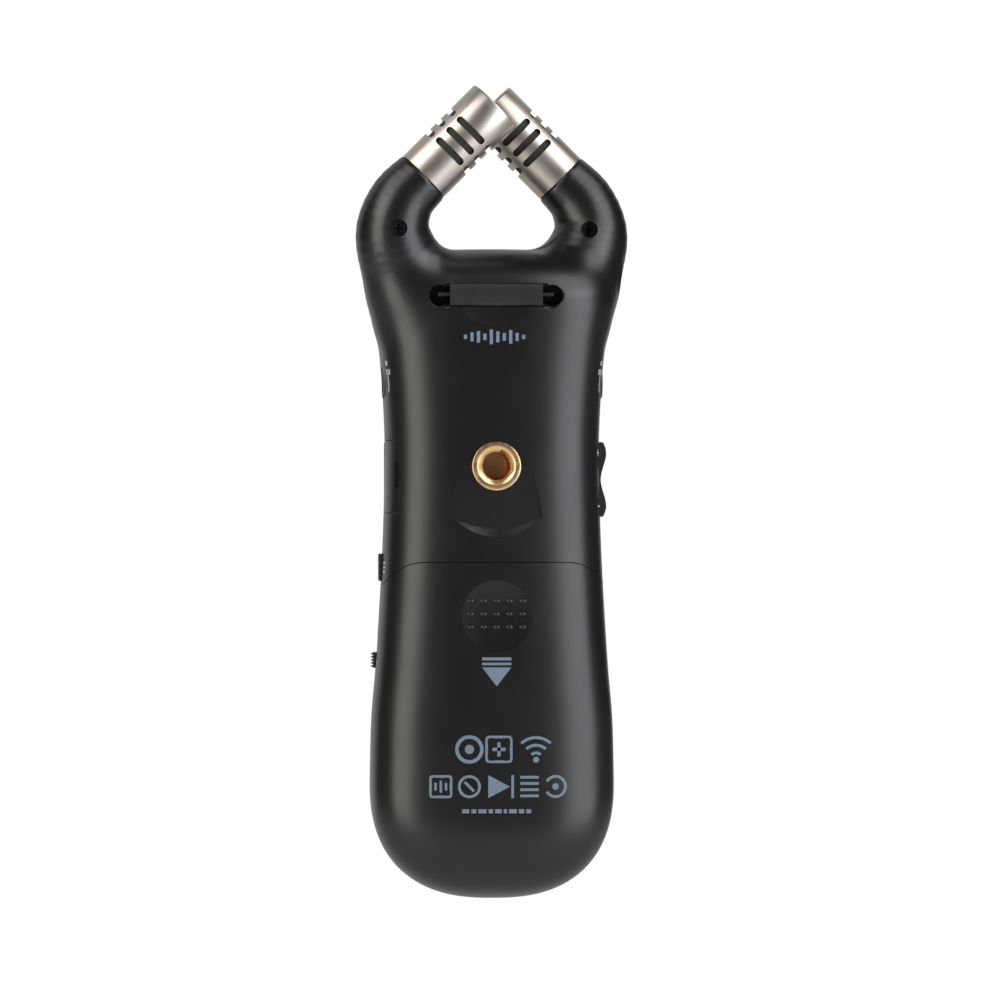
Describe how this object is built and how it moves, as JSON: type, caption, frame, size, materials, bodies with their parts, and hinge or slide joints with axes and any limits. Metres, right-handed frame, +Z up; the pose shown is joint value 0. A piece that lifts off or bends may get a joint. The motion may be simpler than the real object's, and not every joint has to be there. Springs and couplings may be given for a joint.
{
  "type": "portable field recorder",
  "caption": "Hand-held stereo audio recorder with two crossed microphone tubes on curved arms, sliding battery cover, side controls and a tripod thread in its back.",
  "frame": {"origin": "on the axis of the tripod thread in the back, at the outer end of the thread", "axes": "+Z up along the body towards the microphones, +Y out of the back along the tripod thread, +X to the right as seen from the display side"},
  "size_m": [0.05, 0.0248, 0.1486],
  "materials": {
    "shell": "satin, fine texture",
    "control": "satin",
    "record": "gloss",
    "mic_metal": "satin champagne",
    "mesh": "dark woven",
    "element": "satin",
    "soft": "matte",
    "cable": "satin",
    "brass": "turned",
    "steel": "zinc",
    "spring": "nickel",
    "window": "clear, tinted",
    "light": "clear",
    "panel": "gloss",
    "inner": "moulded",
    "switch": "stamped",
    "board": "solder mask",
    "cell": "printed sleeve"
  },
  "bodies": {
    "case": {"front_shell": "shell", "back_shell": "shell", "strap_bar": "control", "mic_housing_left": "mic_metal", "mic_housing_right": "mic_metal", "mic_screen_left": "mesh", "mic_screen_right": "mesh", "mic_grille_left": "mesh", "mic_grille_right": "mesh", "mic_element_left": "element", "mic_element_right": "element", "mic_mount_left": "soft", "mic_mount_right": "soft", "key_mat": "soft", "mic_wire_left": "cable", "mic_wire_right": "cable", "tripod_insert": "brass", "arm_screws": "steel", "case_screws": "steel", "board_screws": "steel", "rocker_pin": "steel", "card_door_pin": "steel", "usb_socket": "steel", "contact_springs": "spring", "contact_plates": "spring", "display_window": "window", "light_pipe": "light", "display_panel": "panel", "display_frame": "inner", "battery_tray": "inner", "rocker_bracket": "inner", "side_switches": "inner", "slide_switch": "inner", "line_in_jack": "inner", "headphone_jack": "inner", "card_socket": "inner", "speaker": "inner", "dome_switches": "switch", "main_board": "board", "batteries": "cell"},
    "record_button": {"record_button": "record"},
    "play_key": {"play_key": "control"},
    "stop_key": {"stop_key": "control"},
    "back_key": {"back_key": "control"},
    "forward_key": {"forward_key": "control"},
    "menu_button": {"menu_button": "control"},
    "volume_rocker": {"volume_rocker": "control"},
    "power_slider": {"power_slider": "control"},
    "card_door": {"card_door": "shell"},
    "memory_card": {"memory_card": "inner"},
    "battery_cover": {"battery_cover": "shell"}
  },
  "joints": [
    {"name": "record_press", "type": "slide", "parent": "case", "child": "record_button", "axis": [0, 1, 0], "range_m": [0, 0.0005], "stiffness_N_per_m": 1500},
    {"name": "play_press", "type": "slide", "parent": "case", "child": "play_key", "axis": [0, 1, 0], "range_m": [0, 0.0005], "stiffness_N_per_m": 1500},
    {"name": "stop_press", "type": "slide", "parent": "case", "child": "stop_key", "axis": [0, 1, 0], "range_m": [0, 0.0005], "stiffness_N_per_m": 1500},
    {"name": "back_press", "type": "slide", "parent": "case", "child": "back_key", "axis": [0, 1, 0], "range_m": [0, 0.0005], "stiffness_N_per_m": 1500},
    {"name": "forward_press", "type": "slide", "parent": "case", "child": "forward_key", "axis": [0, 1, 0], "range_m": [0, 0.0005], "stiffness_N_per_m": 1500},
    {"name": "menu_press", "type": "slide", "parent": "case", "child": "menu_button", "axis": [-1, 0, 0], "range_m": [0, 0.0005], "stiffness_N_per_m": 1500},
    {"name": "volume_tilt", "type": "hinge", "parent": "case", "child": "volume_rocker", "pos_m": [-0.01637, -0.01151, -0.00245], "axis": [0, 1, 0], "range_deg": [-3, 3], "stiffness_Nm_per_rad": 0.02},
    {"name": "power_slide", "type": "slide", "parent": "case", "child": "power_slider", "axis": [0, 0, 1], "range_m": [0, 0.0028]},
    {"name": "door_swing", "type": "hinge", "parent": "case", "child": "card_door", "pos_m": [0.01875, -0.01541, -0.0022], "axis": [0, 0, -1], "range_deg": [0, 95]},
    {"name": "card_push", "type": "slide", "parent": "case", "child": "memory_card", "axis": [-1, 0, 0], "range_m": [0, 0.0005], "stiffness_N_per_m": 800},
    {"name": "cover_slide", "type": "slide", "parent": "case", "child": "battery_cover", "axis": [0, 0, -1], "range_m": [0, 0.066]}
  ]
}
